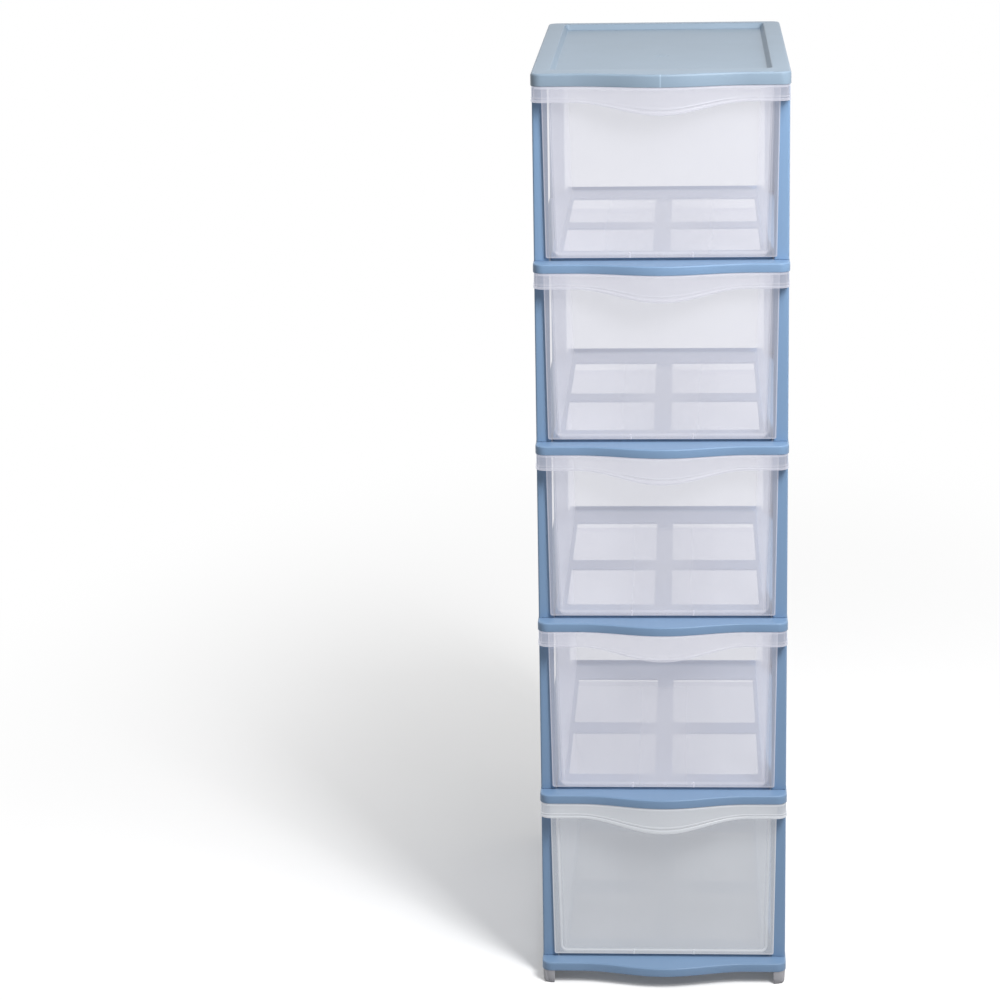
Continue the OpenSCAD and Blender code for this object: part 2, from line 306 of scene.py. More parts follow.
# Surfaces -----------------------------------------------------------------------------------------


def hump(x, half):
    """Smooth swelling: (1 + cos(pi x / half)) / 2 within half of the middle, and 0 outside it."""
    return np.where(np.abs(x) < half, 0.5 + 0.5 * np.cos(np.pi * x / half), 0.0)


def ease(t):
    """Smooth step: 3 t^2 - 2 t^3, with t held between 0 and 1."""
    t = np.clip(t, 0.0, 1.0)
    return t * t * (3.0 - 2.0 * t)


def quarter(centre_x, centre_y, radius, start):
    """Quarter circle, anticlockwise from start in radians, without its last point."""
    turn = start + np.linspace(0.0, np.pi / 2, ARC_STEPS, endpoint=False)
    return np.column_stack([centre_x + radius * np.cos(turn), centre_y + radius * np.sin(turn)])


def line(x, y):
    """Points at x and y, of which one may be a plain number."""
    return np.column_stack(np.broadcast_arrays(x, y))


def plan_loop(half_w, front, back, corner, bulge=0.0, bulge_half=1.0, middle=0.0):
    """Closed outline, anticlockwise from the left end of its front side: four straight sides joined by
    quarter circles, with the front side moved forward by bulge times the hump."""
    flat = half_w - corner
    across = FRONT_STOPS * flat
    low, high = front + corner, back - corner
    side = low + SIDE_STOPS * (high - low)
    parts = [
        line(across, front - bulge * hump(across, bulge_half)),
        quarter(flat, low, corner, -np.pi / 2),
        line(half_w, side[:-1]),
        quarter(flat, high, corner, 0.0),
        line(BACK_STOPS * flat, back),
        quarter(-flat, high, corner, np.pi / 2),
        line(-half_w, side[:0:-1]),
        quarter(-flat, low, corner, np.pi),
    ]
    return np.concatenate(parts) + np.array([middle, 0.0])


def ring(outline, height):
    """An outline lifted to a height, which may be one number or one for each point."""
    return np.column_stack([outline, np.broadcast_to(height, len(outline))])


def arc(centre, height, radius, start, stop, steps=EDGE_STEPS):
    """Stations (inset, height) along an arc from start to stop in degrees, where 180 faces outwards."""
    turn = np.radians(np.linspace(start, stop, steps + 1))
    return list(zip(centre + radius * np.cos(turn), height + radius * np.sin(turn)))


def grid_faces(rows, columns, wrap_rows=False, wrap_columns=False):
    """Quads between neighbouring rows and columns; a wrapped side also joins its last line to its first."""
    index = np.arange(rows * columns).reshape(rows, columns)
    if wrap_rows:
        index = np.concatenate([index, index[:1]], axis=0)
    if wrap_columns:
        index = np.concatenate([index, index[:, :1]], axis=1)
    corners = (index[:-1, :-1], index[:-1, 1:], index[1:, 1:], index[1:, :-1])
    return np.stack(corners, axis=-1).reshape(-1, 4)


def shell(rows, wrap_rows=False, wrap_columns=True):
    """Points and quads of the surface through a list of rows."""
    grid = np.stack(rows)
    return grid.reshape(-1, 3), grid_faces(len(grid), grid.shape[1], wrap_rows, wrap_columns)


def capped_shell(rows):
    """Closed tube through rows that run round its section: one half of the rows out and the other half
    back. Each end is closed by a column halfway between a row and the row opposite it."""
    grid = np.stack(rows)
    first = 0.5 * (grid[:, :1] + grid[::-1, :1])
    last = 0.5 * (grid[:, -1:] + grid[::-1, -1:])
    grid = np.concatenate([first, grid, last], axis=1)
    return grid.reshape(-1, 3), grid_faces(len(grid), grid.shape[1], wrap_rows=True)


def swept(plan, stations):
    """Rows with the outline plan(inset), one at each station (inset, height)."""
    return [ring(plan(inset), height) for inset, height in stations]


def block(middle, half_w, front, back, corner, bottom, top, edge):
    """Closed block with a rounded outline: from the middle line of its underside out round its lower
    edge, up its side and back in over its top."""

    def plan(inset):
        return plan_loop(half_w - inset, front + inset, back - inset, max(corner - inset, 0.0), middle=middle)

    stations = arc(edge, bottom + edge, edge, 270, 180) + arc(edge, top - edge, edge, 180, 90)
    return shell(swept(plan, [(half_w, bottom), *stations, (half_w, top)]))


def pierced_slab(xs, ys, kept, bottom, top):
    """Flat slab on the lines xs and ys, open where kept is False: a top, a bottom, and a wall wherever a
    kept cell meets an open one or the outside."""
    plan = np.stack(np.meshgrid(xs, ys, indexing="ij"), axis=-1).reshape(-1, 2)
    points = np.concatenate([ring(plan, top), ring(plan, bottom)])
    count = len(plan)
    index = np.arange(count).reshape(len(xs), len(ys))
    i, j = np.nonzero(kept)
    top_faces = np.column_stack([index[i, j], index[i + 1, j], index[i + 1, j + 1], index[i, j + 1]])
    edge = np.pad(kept, 1)
    i, j = np.nonzero(edge[1:, 1:-1] != edge[:-1, 1:-1])
    x_walls = np.column_stack([index[i, j], index[i, j + 1], index[i, j + 1] + count, index[i, j] + count])
    i, j = np.nonzero(edge[1:-1, 1:] != edge[1:-1, :-1])
    y_walls = np.column_stack([index[i, j], index[i + 1, j], index[i + 1, j] + count, index[i, j] + count])
    return points, np.concatenate([top_faces, top_faces + count, x_walls, y_walls])


def angle_section(x0, x1, y0, y1, thick, outer_r, edge):
    """Outer and inner line of an L-shaped wall: along y0 from x0 to the corner at x1, then along x1 to y1.
    The inner line keeps the thickness, and both turn into each other round small edges."""
    bevel = BEVEL * edge
    inner_r = max(outer_r - thick, edge)
    outer = np.concatenate([
        [(x0, y0 + edge), (x0 + bevel, y0 + bevel), (x0 + edge, y0)],
        quarter(x1 - outer_r, y0 + outer_r, outer_r, -np.pi / 2),
        [(x1, y0 + outer_r), (x1, y1 - edge), (x1 - bevel, y1 - bevel), (x1 - edge, y1)],
    ])
    inside_x, inside_y = x1 - thick, y0 + thick
    inner = np.concatenate([
        [(x0, inside_y - edge), (x0 + bevel, inside_y - bevel), (x0 + edge, inside_y)],
        quarter(inside_x - inner_r, inside_y + inner_r, inner_r, -np.pi / 2),
        [(inside_x, inside_y + inner_r), (inside_x, y1 - edge),
         (inside_x + bevel, y1 - bevel), (inside_x + edge, y1)],
    ])
    return outer, inner


def angle_bar(levels):
    """Closed upright bar through levels that each give a height and the outer and inner line there. Each
    end is closed on the line halfway between them."""
    rows = [ring(np.concatenate([outer, inner[::-1]]), height) for height, (outer, inner) in levels]
    ends = []
    for row in (rows[0], rows[-1]):
        half = len(row) // 2
        middle = 0.5 * (row[:half] + row[:half - 1:-1])
        ends.append(np.concatenate([middle, middle[::-1]]))
    return shell([ends[0], *rows, ends[1]])


def mirrored(points, side, end):
    """Points of a part drawn at the front right corner with y counted from the posts' front, put at one
    of the four corners."""
    across = 1.0 if side == "right" else -1.0
    if end == "front":
        return points * np.array([across, 1.0, 1.0]) + np.array([0.0, POST_LOW.y, 0.0])
    return points * np.array([across, -1.0, 1.0]) + np.array([0.0, REAR_POST_HIGH.y, 0.0])


def lifted(shells, height):
    """The same shells, moved up."""
    return [(points + np.array([0.0, 0.0, height]), *rest) for points, *rest in shells]


def milked(milkiness, rows):
    """Rows that each carry how milky the plastic looks there."""
    return [(row, milkiness) for row in rows]


def milky_shell(rows, builder):
    """A shell through rows that each carry a milkiness, with the milkiness of every point."""
    points, faces = builder([row for row, _ in rows])
    values = np.array([value for _, value in rows])
    return points, faces, np.repeat(values, len(points) // len(rows)).astype(np.float32)


# Pieces -------------------------------------------------------------------------------------------


def linked(name, data):
    """A new object with its data, linked to the scene."""
    made = bpy.data.objects.new(name, data)
    bpy.context.scene.collection.objects.link(made)
    return made


def make_piece(name, shells, material, body, node):
    """Joins shells into one mesh with its doubles merged and its faces outwards, gives it its material,
    and lets it ride on its body in the place of its node. A shell's third part, where it has one, says
    for each point how milky its plastic looks."""
    starts = np.cumsum([0] + [len(part[0]) for part in shells])
    points = np.concatenate([part[0] for part in shells])
    quads = np.concatenate([part[1] + start for part, start in zip(shells, starts)])
    mesh = bpy.data.meshes.new(name)
    mesh.vertices.add(len(points))
    mesh.vertices.foreach_set("co", points.astype(np.float32).ravel())
    mesh.loops.add(quads.size)
    mesh.loops.foreach_set("vertex_index", quads.astype(np.int32).ravel())
    mesh.polygons.add(len(quads))
    mesh.polygons.foreach_set("loop_start", np.arange(0, quads.size, 4, dtype=np.int32))
    mesh.update(calc_edges=True)
    if len(shells[0]) == 3:
        milkiness = np.concatenate([part[2] for part in shells])
        mesh.attributes.new("milkiness", "FLOAT", "POINT").data.foreach_set("value", milkiness)
    work = bmesh.new()
    work.from_mesh(mesh)
    bmesh.ops.remove_doubles(work, verts=work.verts, dist=MERGE)
    bmesh.ops.dissolve_degenerate(work, edges=work.edges, dist=MERGE)
    bmesh.ops.recalc_face_normals(work, faces=work.faces)
    work.to_mesh(mesh)
    work.free()
    mesh.shade_smooth()
    mesh.set_sharp_from_angle(angle=SHARP_ANGLE)
    mesh.materials.append(material)
    piece = linked(name, mesh)
    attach(piece, body)
    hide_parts(node)


def rim_plan(inset):
    """Outline of the rims, moved in by inset."""
    rims = settings().rims
    return plan_loop(
        RIM_HIGH.x - inset,
        rim_front(rims) + inset,
        RIM_HIGH.y - inset,
        max(rims.corner_r - inset, LEAST_R),
        rims.bulge,
        rims.bulge_half,
    )


def corner_pads(bottom, top):
    """The four solid corners that the posts stand in, under the rim."""
    spare, setback, corner, edge = 2.5 * MM, 1.0 * MM, 1.0 * MM, 0.3 * MM
    inner, outer = POST_LOW.x - spare, RIM_HIGH.x - setback
    depth = POST_HIGH.y - POST_LOW.y
    pads = []
    for side in (-1.0, 1.0):
        for front in (POST_LOW.y, REAR_POST_LOW.y):
            middle, half = side * 0.5 * (inner + outer), 0.5 * (outer - inner)
            back = min(front + depth + spare, RIM_HIGH.y - setback)
            pads.append(block(middle, half, front - spare, back, corner, bottom, top, edge))
    return pads


def deck_skin(sizes, rims):
    """Rim, border and guides of a shelf as one closed surface. Its section runs from the skirt's lower
    edge up the outside, over the rounded rim, in along the border, up and over the guide, down inside it
    and back under the border. In front the guide sinks to the deck along a smooth ramp."""
    front = rim_front(rims) + sizes.deck_setback
    back = RIM_HIGH.y - sizes.back_border
    corner, edge, ramp_start, sunk = 1.4 * MM, 0.6 * MM, 1.0 * MM, 0.4 * MM
    least_rise = sizes.deck_rise + 0.06 * MM

    def deck_plan(inset):
        return plan_loop(sizes.deck_half - inset, front + inset, back - inset, max(corner - inset, LEAST_R))

    ramp = (deck_plan(0.0)[:, 1] - front - ramp_start) / sizes.guide_ramp
    crest = least_rise + (sizes.guide_rise - sizes.deck_rise) * ease(ramp)
    wall, lower, upper = rims.wall, rims.lower_r, rims.edge_r
    rows = swept(rim_plan, [
        *arc(wall - edge, edge - sizes.rim_h, edge, 360, 270, 3),
        *arc(lower, lower - sizes.rim_h, lower, 270, 180, 4),
        *arc(upper, -upper, upper, 180, 90, 6),
    ])
    rows.append(ring(deck_plan(0.0), 0.0))
    guide = arc(edge, -edge, edge, 180, 90, 4) + arc(wall - edge, -edge, edge, 90, 0, 4)
    rows += swept(deck_plan, [(inset, crest + height) for inset, height in guide])
    rows += swept(deck_plan, [(wall, sizes.deck_rise - sunk), (wall, -wall)])
    rows.append(ring(rim_plan(wall), -wall))
    return shell(rows, wrap_rows=True)


def opening_lines(sizes, rims):
    """Lines that bound the deck's openings: the inner and the outer one at a side, then four from front
    to back."""
    first = rim_front(rims) + sizes.front_rail
    second = first + sizes.front_opening
    last = RIM_HIGH.y - sizes.rear_rail
    return sizes.middle_bar / 2, RIM_HIGH.x - sizes.side_rail, first, second, second + sizes.cross_bar, last


def deck_slab(sizes, rims):
    """The flat deck with its four openings, held in the guides' walls."""
    inlay, spare = 1.2 * MM, 1.6 * MM
    half = sizes.deck_half - inlay
    front = rim_front(rims) + sizes.deck_setback + inlay
    back = RIM_HIGH.y - sizes.back_border - inlay
    x1, x2, y1, y2, y3, y4 = opening_lines(sizes, rims)
    xs = np.array([-half, -x2 - spare, spare - x1, x1 - spare, x2 + spare, half])
    ys = np.array([front, y1 - spare, y2 + spare, y3 - spare, y4 + spare, back])
    kept = np.ones((len(xs) - 1, len(ys) - 1), bool)
    kept[1::2, 1::2] = False
    return pierced_slab(xs, ys, kept, sizes.deck_rise - rims.wall, sizes.deck_rise)


def opening_lips(sizes, rims):
    """Thin lip round each of the deck's four openings: a closed wedge section, thin at the opening and as
    thick as the deck further out, carried round a rounded rectangle."""
    x1, x2, y1, y2, y3, y4 = opening_lines(sizes, rims)
    edge, reach, slope, drop = sizes.lip / 2, rims.wall, 0.3 * MM, 0.4 * MM
    top = sizes.deck_rise + 0.08 * MM
    section = [
        (reach, top - rims.wall),
        *arc(edge, top - edge, edge, 270, 90, 6),
        (reach, top),
        (reach + slope, top - drop),
    ]
    shells = []
    for low, high in ((y1, y2), (y3, y4)):
        for side in (-1.0, 1.0):

            def plan(out, low=low, high=high, middle=side * (x1 + x2) / 2):
                half = (x2 - x1) / 2 + out
                return plan_loop(half, low - out, high + out, sizes.opening_r + out, middle=middle)

            shells.append(shell(swept(plan, section), wrap_rows=True))
    return shells


def tray_lines(sizes):
    """The front and the back line of the cover's tray."""
    return rim_front(settings().rims) + sizes.tray_front, RIM_HIGH.y - sizes.tray_back


def tray_plan(inset):
    """Outline of the cover's tray, moved in by inset."""
    sizes = settings().cover
    front, back = tray_lines(sizes)
    half = RIM_HIGH.x - sizes.tray_side - inset
    return plan_loop(half, front + inset, back - inset, min(max(sizes.tray_r - inset, LEAST_R), half))


def cover_skin(sizes, rims):
    """The whole cover as one closed surface, from the middle line of the tray's floor out over its
    fillet, wall and rounded edge, along the border, over the rim, and back inside to the middle."""
    floor = COVER_H - sizes.tray_depth
    half = RIM_HIGH.x - sizes.tray_side
    near_middle, inner_edge = 0.4 * half, 0.5 * MM
    edge, fillet, upper, lower, wall = (
        sizes.tray_edge_r, sizes.tray_fillet, sizes.edge_r, rims.lower_r, rims.wall
    )
    rows = swept(tray_plan, [
        (half, floor),
        (near_middle, floor),
        *arc(sizes.tray_slope + fillet, floor + fillet, fillet, 270, 180),
        *arc(-edge, COVER_H - edge, edge, 0, 90),
    ])
    rows += swept(rim_plan, [
        *arc(upper, COVER_H - upper, upper, 90, 180, 7),
        *arc(lower, lower, lower, 180, 270, 4),
        *arc(wall - inner_edge, inner_edge, inner_edge, 270, 360, 3),
        (wall, COVER_H - wall),
    ])
    rows += swept(tray_plan, [(-wall, COVER_H - wall), (-wall, floor - wall), (half, floor - wall)])
    return shell(rows)


def gate_mark(sizes):
    """Mark of the moulding gate: a low ring on the tray's floor, its height following a hump across it."""
    around, across, forward, sunk = 48, 9, 38.0 * MM, 0.5 * MM
    lift, crest, crest_place, crest_half = 0.04 * MM, 0.22 * MM, 0.72, 0.28
    turn = np.linspace(0.0, 2 * np.pi, around, endpoint=False)
    circle = np.column_stack([np.cos(turn), np.sin(turn)])
    middle = np.array([0.0, 0.5 * sum(tray_lines(sizes)) - forward])
    floor = COVER_H - sizes.tray_depth
    out = np.linspace(0.0, 1.0, across)
    heights = floor + lift + crest * hump(out - crest_place, crest_half)
    stations = [*zip(out, heights), (1.0, floor - sunk), (0.0, floor - sunk)]
    return shell(swept(lambda share_out: middle + circle * sizes.gate_r * share_out, stations))


def tub_shell(sizes, rims):
    """The tub's floor, sides and back as one closed surface. Every row is a U in plan, from the face
    along the right side, round the back and home along the left. The rows run from the middle line of
    the underside out over the fillet, up the tapered wall, over the rounded top edge, and down inside to
    the middle line of the floor."""
    into_face, edge = 0.3 * MM, 0.5 * MM
    top = DRAWER_H - sizes.tub_top
    back_top = REAR_POST_HIGH.y - rims.wall - sizes.back_gap
    front = rim_front(rims) + sizes.face_setback + sizes.face_t - into_face
    fillet, thick, bead = sizes.tub_fillet, sizes.tub_t, sizes.tub_bead
    bead_low = top - sizes.tub_bead_h
    wall_top, bead_full = bead_low - 0.6 * MM, bead_low + 0.4 * MM
    bead_start = 0.7 * bead

    def lean(height):
        return sizes.draft * (1.0 - min(max(height / top, 0.0), 1.0))

    def u_row(inset, height):
        half = sizes.tub_half_top - lean(height) - inset
        back = back_top - lean(height) - inset
        corner = min(max(sizes.tub_corner - inset, 0.0), half)
        flat, high = half - corner, back - corner
        side = SIDE_STOPS * (high - front) + front
        plan = np.concatenate([
            line(half, side[:-1]),
            quarter(flat, high, corner, 0.0),
            line(BACK_STOPS * flat, back),
            quarter(-flat, high, corner, np.pi / 2),
            line(-half, side[::-1]),
        ])
        return ring(plan, height)

    def rows(milkiness, stations):
        return milked(milkiness, [u_row(inset, height) for inset, height in stations])

    def middle(height):
        return sizes.tub_half_top - lean(height), height

    outside = [
        *rows(TUB_FLOOR, [middle(0.0), *arc(fillet, fillet, fillet, 270, 180, 7)[:-1]]),
        *rows(sizes.wall_milk, [(0.0, fillet), (0.0, wall_top)]),
        *rows(TUB_RIM, [(-bead_start, bead_low), (-bead, bead_full)]),
        *rows(TUB_RIM, arc(edge - bead, top - edge, edge, 180, 90, 4)),
    ]
    inside = [
        *rows(TUB_FLOOR, [middle(thick), *arc(fillet, fillet, fillet - thick, 270, 180, 7)[:-1]]),
        *rows(sizes.wall_milk, [(thick, fillet), (thick, wall_top)]),
        *rows(TUB_RIM, [(thick, bead_low), (thick, bead_full)]),
        *rows(TUB_RIM, arc(thick - edge, top - edge, edge, 0, 90, 4)),
    ]
    return milky_shell(outside + inside[::-1], capped_shell)


def face_shell(sizes, rims):
    """The face as one closed plate: a trapezium with rounded lower corners and, within its flange, a
    slightly thinner panel. Its rows run from the middle line of the front, out over the panel's step and
    the flange's edge, and back in over the rear."""
    top = DRAWER_H - 0.7 * MM
    panel_top = top - 6.0 * MM
    front = rim_front(rims) + sizes.face_setback
    back, sunk, halfway = front + sizes.face_t, front + sizes.panel_step, front + 0.5 * sizes.panel_step
    corner, edge, to_middle = 1.6 * MM, 0.5 * MM, 60 * MM
    # From how far inside the face's edge its flange is flat. Then, out from the panel's outline: where the
    # plain panel ends, its step's foot and head, and where the line round it, milkier plastic that is also a
    # painted highlight, begins to fade and is gone
    flat = 1.1 * MM
    panel_end, step_foot, step_head, line_fade, line_gone = -0.9 * MM, -0.4 * MM, 0.4 * MM, 1.1 * MM, 1.8 * MM

    def row(half_top, half_floor, low, high, inset, radius, y):
        outline = plan_loop(half_top - inset, low + inset, high - inset, radius)
        width = half_floor - inset + (half_top - half_floor) * outline[:, 1] / top
        across = outline[:, 0] * width / (half_top - inset)
        return np.column_stack([line(across, y), outline[:, 1]])

    def panel_row(out, y):
        half_top, half_floor, radius = sizes.panel_half_top, sizes.panel_half_floor, sizes.panel_r + out
        return row(half_top, half_floor, sizes.panel_foot, panel_top, -out, radius, y)

    def edge_row(inset, y):
        return row(sizes.face_half_top, sizes.face_half_floor, 0.0, top, inset, corner, y)

    def middle_row(y):
        return row(sizes.panel_half_top, sizes.panel_half_floor, 0.0, top, to_middle, LEAST_R, y)

    def centre_row(y):
        return ring(middle_row(y)[:, :2], 0.5 * top)

    front_edge = arc(edge, front + edge, edge, 270, 180, 4)
    back_edge = arc(edge, back - edge, edge, 180, 90, 3)
    rows = [
        *milked(PANEL, [centre_row(sunk), middle_row(sunk), panel_row(panel_end, sunk)]),
        *milked(FACE_LINE, [panel_row(step_foot, sunk), panel_row(0.0, halfway)]),
        *milked(FACE_LINE, [panel_row(step_head, front), panel_row(line_fade, front)]),
        *milked(FLANGE, [panel_row(line_gone, front), edge_row(flat, front)]),
        *milked(FACE_EDGE, [edge_row(inset, y) for inset, y in front_edge + back_edge]),
        *milked(FLANGE, [edge_row(flat, back), panel_row(line_fade, back)]),
        *milked(PANEL, [panel_row(panel_end, back), middle_row(back), centre_row(back)]),
    ]
    return milky_shell(rows, shell)


def front_path(inset, stop):
    """Open outline of the rims' front, moved in by inset: from the left side at y = stop round both front
    corners to the right side at y = stop."""
    rims = settings().rims
    half, front = RIM_HIGH.x - inset, rim_front(rims) + inset
    corner = max(rims.corner_r - inset, LEAST_R)
    low, flat = front + corner, half - corner
    across = FRONT_STOPS * flat
    side = np.linspace(stop, low, RETURN_STEPS, endpoint=False)
    return np.concatenate([
        line(-half, side),
        quarter(-flat, low, corner, np.pi),
        line(across, front - rims.bulge * hump(across, rims.bulge_half)),
        quarter(flat, low, corner, -np.pi / 2),
        line(half, [low, *side[::-1]]),
    ])


def handle_shell(sizes, rims):
    """The handle band and the web that joins it to the face, as one closed surface. Its section climbs
    the band's outside over a double ridge, turns in along the web to the face, comes back under the web
    and goes down inside the band. The band's lower edge dips with the rims' hump."""
    bend, web, side_gap, into_face = 0.8 * MM, 2.0 * MM, 0.4 * MM, 0.2 * MM
    stop = rim_front(rims) + sizes.face_setback + sizes.face_t
    proud, inside = sizes.ridge, sizes.ridge + sizes.band_t
    limit = RIM_HIGH.x - inside - side_gap
    outer_top, inner_top = DRAWER_H - 2.2 * bend, DRAWER_H - web - 1.4 * bend

    def low_row(inset, lift, share_up=0.0):
        path = front_path(inset, stop)
        swell = hump(path[:, 0], rims.bulge_half)
        low = DRAWER_H - sizes.band_h - sizes.band_dip * swell
        return ring(path, low + lift + share_up * (sizes.ridge_h + sizes.ridge_swell * swell))

    def path_rows(milkiness, stations):
        return milked(milkiness, swept(lambda inset: front_path(inset, stop), stations))

    def face_row(height):
        path = front_path(0.0, stop)
        across = np.clip(path[:, 0], -limit, limit)
        return ring(line(across, stop - into_face), height)

    # Lines of the lower lip as (inset, height), and of the double ridge as (inset, share of its height,
    # milkiness). The milkier lines stand for denser plastic and are also painted highlights.
    outer_lip = ((1.5 * MM, 0.0), (0.4 * MM, 0.0), (0.1 * MM, 0.15 * MM), (0.0, 0.45 * MM))
    inner_lip = ((inside - 0.5 * MM, 0.0), (inside - 0.15 * MM, 0.15 * MM))
    ridge = (
        (0.0, 0.42, BAND_LINE), (0.25 * MM, 0.5, BAND_LINE), (proud, 0.58, GROOVE), (proud, 0.68, GROOVE),
        (0.2 * MM, 0.76, BAND_LINE), (0.1 * MM, 0.86, BAND_LINE), (0.3 * MM, 0.96, BAND_LINE),
        (proud, 1.06, BAND),
    )
    inner_shares = np.linspace(0.3, 1.06, 9)
    outside = [
        *milked(BAND_LINE, [low_row(inset, lift) for inset, lift in outer_lip]),
        *((low_row(inset, 0.0, share_up), milkiness) for inset, share_up, milkiness in ridge),
        *path_rows(BAND, [(proud, outer_top)]),
        *path_rows(BAND_LINE, arc(proud + bend, DRAWER_H - bend, bend, 180, 90)),
        (face_row(DRAWER_H), WEB),
    ]
    inner = [
        *milked(BAND_LINE, [low_row(inset, lift) for inset, lift in inner_lip]),
        (low_row(inside, 0.45 * MM), GROOVE),
        *milked(BAND, [low_row(inside, 0.0, share_up) for share_up in inner_shares]),
        *path_rows(BAND, [(inside, inner_top)]),
        *path_rows(BAND, arc(inside + bend, DRAWER_H - web - bend, bend, 180, 90)),
        (face_row(DRAWER_H - web), WEB),
    ]
    return milky_shell(outside + inner[::-1], capped_shell)


def face_nibs(sizes, rims):
    """Two small upright nibs on the face's lower edge."""
    front = rim_front(rims) + sizes.face_setback
    half, proud, behind, bottom, corner, edge = 0.7 * MM, 0.7 * MM, 1.2 * MM, 0.1 * MM, 0.45 * MM, 0.3 * MM
    shells = []
    for x in (-sizes.nib_x, sizes.nib_x):
        points, faces = block(x, half, front - proud, front + behind, corner, bottom, sizes.nib_h, edge)
        shells.append((points, faces, np.full(len(points), NIB, np.float32)))
    return shells


def post_shell(sizes, bay_low, bay_high):
    """A corner post: an L-shaped section, upright between two shelves, with its ends chamfered."""
    gap, chamfer = 0.05 * MM, 0.35 * MM
    low, high = bay_low + gap, bay_high - gap
    depth = POST_HIGH.y - POST_LOW.y

    def section(d):
        x0, x1, thick = POST_LOW.x + d, POST_HIGH.x - d, sizes.thick - 2 * d
        return angle_section(x0, x1, d, depth - d, thick, sizes.outer_r, sizes.edge_r)

    stations = ((low, chamfer), (low + chamfer, 0.0), (high - chamfer, 0.0), (high, chamfer))
    return angle_bar([(height, section(inset)) for height, inset in stations])


def foot_shells(sizes, front_edge):
    """A foot: an L-shaped wall with a large round corner that narrows towards the floor, and the block
    behind its front."""
    side_gap, top_gap, low, flare = 2.0 * MM, 0.05 * MM, 0.5 * MM, 0.35 * MM
    left, right, back = FOOT_LOW.x + side_gap, FOOT_HIGH.x, FOOT_HIGH.y - POST_LOW.y
    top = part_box(SHELVES[-1])[0].z
    taper = sizes.foot_taper

    def section(d):
        x0, x1, y1 = left + 0.5 * d, right - d, back - 0.5 * d
        return angle_section(x0, x1, front_edge + d, y1, sizes.foot_thick, sizes.foot_r, sizes.edge_r)

    levels = ((0.0, taper + flare), (low, taper), (0.5 * top, 0.4 * taper), (top - top_gap, 0.0))
    wall = angle_bar([(height, section(inset)) for height, inset in levels])
    middle, half = 0.5 * (left + right), 0.5 * (right - left) - side_gap
    front, rear, bottom, corner, edge = 1.6 * MM, 20.0 * MM, 1.5 * MM, 1.5 * MM, 0.5 * MM
    behind = block(middle, half, front_edge + front, front_edge + rear, corner, bottom, top - top_gap, edge)
    return [wall, behind]


# Finishes -----------------------------------------------------------------------------------------


def feed(tree, socket, value):
    """Links a socket to another one, or gives it a value."""
    if isinstance(value, NodeSocket):
        tree.links.new(value, socket)
    else:
        socket.default_value = value


def add(tree, kind, inputs=None, **values):
    """A new node in a tree, with its properties set and then its inputs, by their names or numbers."""
    made = tree.nodes.new(kind)
    for key, value in values.items():
        setattr(made, key, value)
    for key, value in (inputs or {}).items():
        feed(tree, made.inputs[key], value)
    return made


def maths(tree, operation, first, second=0.0, third=0.0):
    """The output of a new Math node on numbers or sockets."""
    inputs = {0: first, 1: second, 2: third}
    return add(tree, "ShaderNodeMath", inputs, operation=operation).outputs[0]


def noise(tree, vector, scale, detail=2.0):
    """The value of a noise texture at a vector."""
    inputs = {"Vector": vector, "Scale": scale, "Detail": detail}
    return add(tree, "ShaderNodeTexNoise", inputs).outputs["Fac"]


def split_axes(tree, vector):
    """The outputs X, Y and Z of a vector."""
    return add(tree, "ShaderNodeSeparateXYZ", {0: vector}).outputs


def new_group(name, inputs, outputs):
    """A shader node group with named inputs and outputs: its tree, the outputs of its input node and the
    inputs of its output node."""
    tree = bpy.data.node_groups.new(name, "ShaderNodeTree")
    for label, kind, value in inputs:
        socket = tree.interface.new_socket(name=label, in_out="INPUT", socket_type=f"NodeSocket{kind}")
        if value is not None:
            socket.default_value = value
    for label, kind in outputs:
        tree.interface.new_socket(name=label, in_out="OUTPUT", socket_type=f"NodeSocket{kind}")
    return tree, add(tree, "NodeGroupInput").outputs, add(tree, "NodeGroupOutput").inputs


def new_material(name):
    """A material and its node tree, still empty."""
    material = bpy.data.materials.new(name)
    material.use_nodes = True
    material.node_tree.nodes.clear()
    return material, material.node_tree


def moulded_surface():
    """Group for moulded plastic. Broad flow marks, stretched along Z, shift the brightness by a few
    hundredths; a fine noise of under a millimetre shifts the roughness and raises a shallow grain."""
    stretch, mark_scale, mark_detail, rough_share, grain_height = (1.0, 1.0, 0.35), 22.0, 3.0, 0.12, 0.05 * MM
    tree, given, out = new_group(
        "Moulded surface",
        [
            ("Vector", "Vector", None),
            ("Colour", "Color", (0.5, 0.5, 0.5, 1.0)),
            ("Flow marks", "Float", 0.05),
            ("Roughness", "Float", 0.4),
            ("Grain size", "Float", 900.0),
            ("Grain depth", "Float", 0.2),
        ],
        [("Colour", "Color"), ("Roughness", "Float"), ("Normal", "Vector")],
    )
    stretched = add(tree, "ShaderNodeMapping", {"Vector": given["Vector"], "Scale": stretch}).outputs[0]
    broad = maths(tree, "SUBTRACT", noise(tree, stretched, mark_scale, mark_detail), 0.5)
    shift = maths(tree, "MULTIPLY_ADD", broad, given["Flow marks"], 1.0)
    shade = add(tree, "ShaderNodeVectorMath", {0: given["Colour"], "Scale": shift}, operation="SCALE")
    fine = noise(tree, given["Vector"], given["Grain size"])
    grain = maths(tree, "SUBTRACT", fine, 0.5)
    bump = {"Distance": grain_height, "Strength": given["Grain depth"], "Height": fine}
    feed(tree, out["Colour"], shade.outputs[0])
    feed(tree, out["Roughness"], maths(tree, "MULTIPLY_ADD", grain, rough_share, given["Roughness"]))
    feed(tree, out["Normal"], add(tree, "ShaderNodeBump", bump).outputs[0])
    return tree


